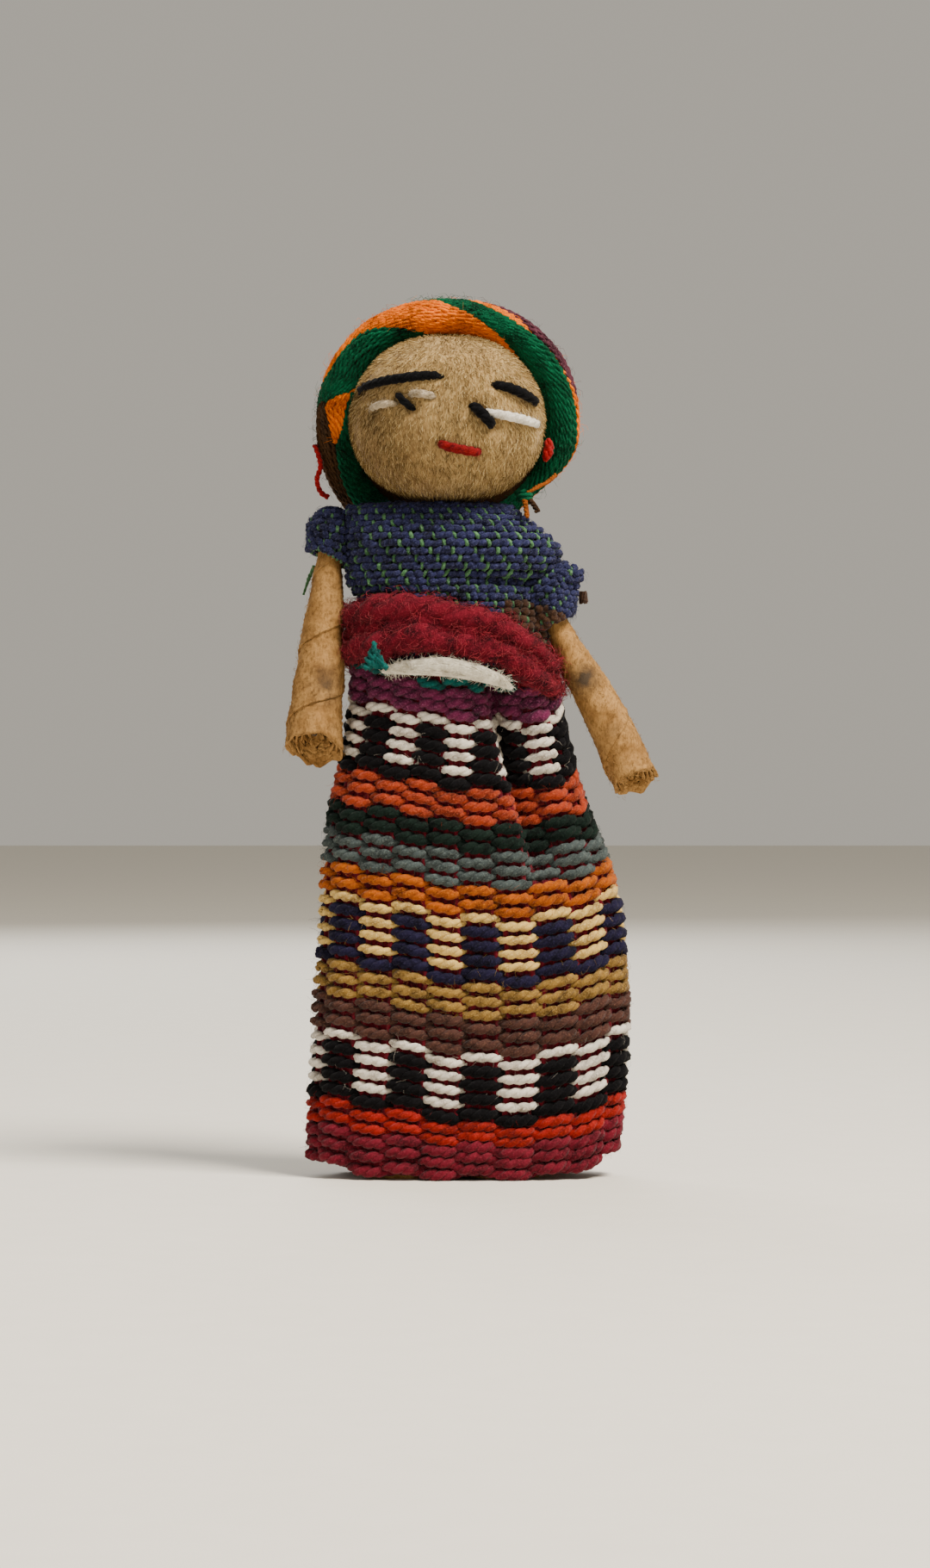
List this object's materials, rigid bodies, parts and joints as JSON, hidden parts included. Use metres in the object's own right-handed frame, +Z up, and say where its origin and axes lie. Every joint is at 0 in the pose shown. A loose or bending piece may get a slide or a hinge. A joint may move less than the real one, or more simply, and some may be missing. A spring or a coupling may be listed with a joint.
{
  "type": "cloth doll",
  "caption": "Small handmade cloth doll with a stuffed felt head, stitched face, yarn headwrap, woven blouse and striped skirt, and rolled-paper arms that bend at the shoulder.",
  "frame": {"origin": "centre of the bounding box's bottom, where the leg ends rest", "axes": "+Z up through the head, -Y to the front that the face looks to, +X towards the doll's left arm"},
  "size_m": [0.0254, 0.0148, 0.0599],
  "materials": {
    "kraft_paper": "matte brown paper, rolled and glued",
    "armature_wire": "dull wire",
    "wadding": "loose white cotton",
    "skirt_cloth": "weft-faced handwoven cotton in many coloured bands",
    "blouse_cloth": "handwoven cotton, navy wefts and green warps",
    "sash_wool": "woolly crimson yarn",
    "white_cotton": "soft white cotton cord",
    "felt": "tan brushed felt with a short nap",
    "black_thread": "matte stitched cotton",
    "white_thread": "matte stitched cotton",
    "red_thread": "matte stitched cotton",
    "green_yarn": "bundle of fine cotton threads",
    "orange_yarn": "bundle of fine cotton threads",
    "brown_yarn": "bundle of fine cotton threads"
  },
  "bodies": {
    "torso": {"torso_paper_roll": "kraft_paper", "right_leg_paper_roll": "kraft_paper", "left_leg_paper_roll": "kraft_paper", "leg_and_spine_wire": "armature_wire", "shoulder_wire": "armature_wire", "right_skirt_wadding": "wadding", "left_skirt_wadding": "wadding", "right_chest_wadding": "wadding", "left_chest_wadding": "wadding", "skirt": "skirt_cloth", "skirt_seam_thread": "red_thread", "blouse": "blouse_cloth", "wool_sash": "sash_wool", "waist_cord": "white_cotton"},
    "neck": {"neck_wire": "armature_wire"},
    "neck_bend": {"neck_wire_bend": "armature_wire"},
    "right_shoulder": {"right_shoulder_wire_bend": "armature_wire"},
    "right_arm": {"right_arm_paper_roll": "kraft_paper", "right_arm_wire": "armature_wire", "right_sleeve": "blouse_cloth", "loose_warp_end": "blouse_cloth"},
    "left_shoulder": {"left_shoulder_wire_bend": "armature_wire"},
    "left_arm": {"left_arm_paper_roll": "kraft_paper", "left_arm_wire": "armature_wire", "left_sleeve": "blouse_cloth", "cut_weft_end": "brown_yarn"},
    "head": {"head_felt": "felt", "head_stuffing": "wadding", "head_wire": "armature_wire", "right_eyebrow": "black_thread", "left_eyebrow": "black_thread", "right_eye_outer_white": "white_thread", "right_eye_inner_white": "white_thread", "right_pupil": "black_thread", "left_eye_white": "white_thread", "left_pupil": "black_thread", "mouth": "red_thread", "headwrap_yarn": "green_yarn", "headwrap_core": "orange_yarn", "hair_cap_core": "brown_yarn", "hair_cap_yarn": "brown_yarn", "left_ear_stitch": "red_thread", "right_ear_thread": "red_thread", "headwrap_end_strand": "orange_yarn", "headwrap_knot": "green_yarn", "headwrap_front_tail": "orange_yarn", "headwrap_back_tail": "brown_yarn"}
  },
  "joints": [
    {"name": "head_turn", "type": "hinge", "parent": "torso", "child": "neck", "pos_m": [-0.00124, -0.00004, 0.0452], "axis": [0, 0, 1], "range_deg": [-15, 15], "deforming": ["headwrap_front_tail", "headwrap_back_tail"]},
    {"name": "head_nod", "type": "hinge", "parent": "neck", "child": "neck_bend", "pos_m": [-0.00124, -0.00004, 0.0452], "axis": [1, 0, 0], "range_deg": [-6, 6], "deforming": ["headwrap_front_tail", "headwrap_back_tail"]},
    {"name": "head_tilt", "type": "hinge", "parent": "neck_bend", "child": "head", "pos_m": [-0.00124, -0.00004, 0.0452], "axis": [0, 1, 0], "range_deg": [-8, 8], "deforming": ["headwrap_front_tail", "headwrap_back_tail"]},
    {"name": "right_arm_raise", "type": "hinge", "parent": "torso", "child": "right_shoulder", "pos_m": [-0.00953, -0.00004, 0.04415], "axis": [0, 1, 0], "range_deg": [0, 90], "deforming": ["right_sleeve"]},
    {"name": "right_arm_swing", "type": "hinge", "parent": "right_shoulder", "child": "right_arm", "pos_m": [-0.00953, -0.00004, 0.04415], "axis": [-1, 0, 0], "range_deg": [-30, 80], "deforming": ["right_sleeve"]},
    {"name": "left_arm_raise", "type": "hinge", "parent": "torso", "child": "left_shoulder", "pos_m": [0.00566, -0.00004, 0.0399], "axis": [0, -1, 0], "range_deg": [0, 65], "deforming": ["left_sleeve"]},
    {"name": "left_arm_swing", "type": "hinge", "parent": "left_shoulder", "child": "left_arm", "pos_m": [0.00566, -0.00004, 0.0399], "axis": [-1, 0, 0], "range_deg": [-30, 60], "deforming": ["left_sleeve"]}
  ]
}
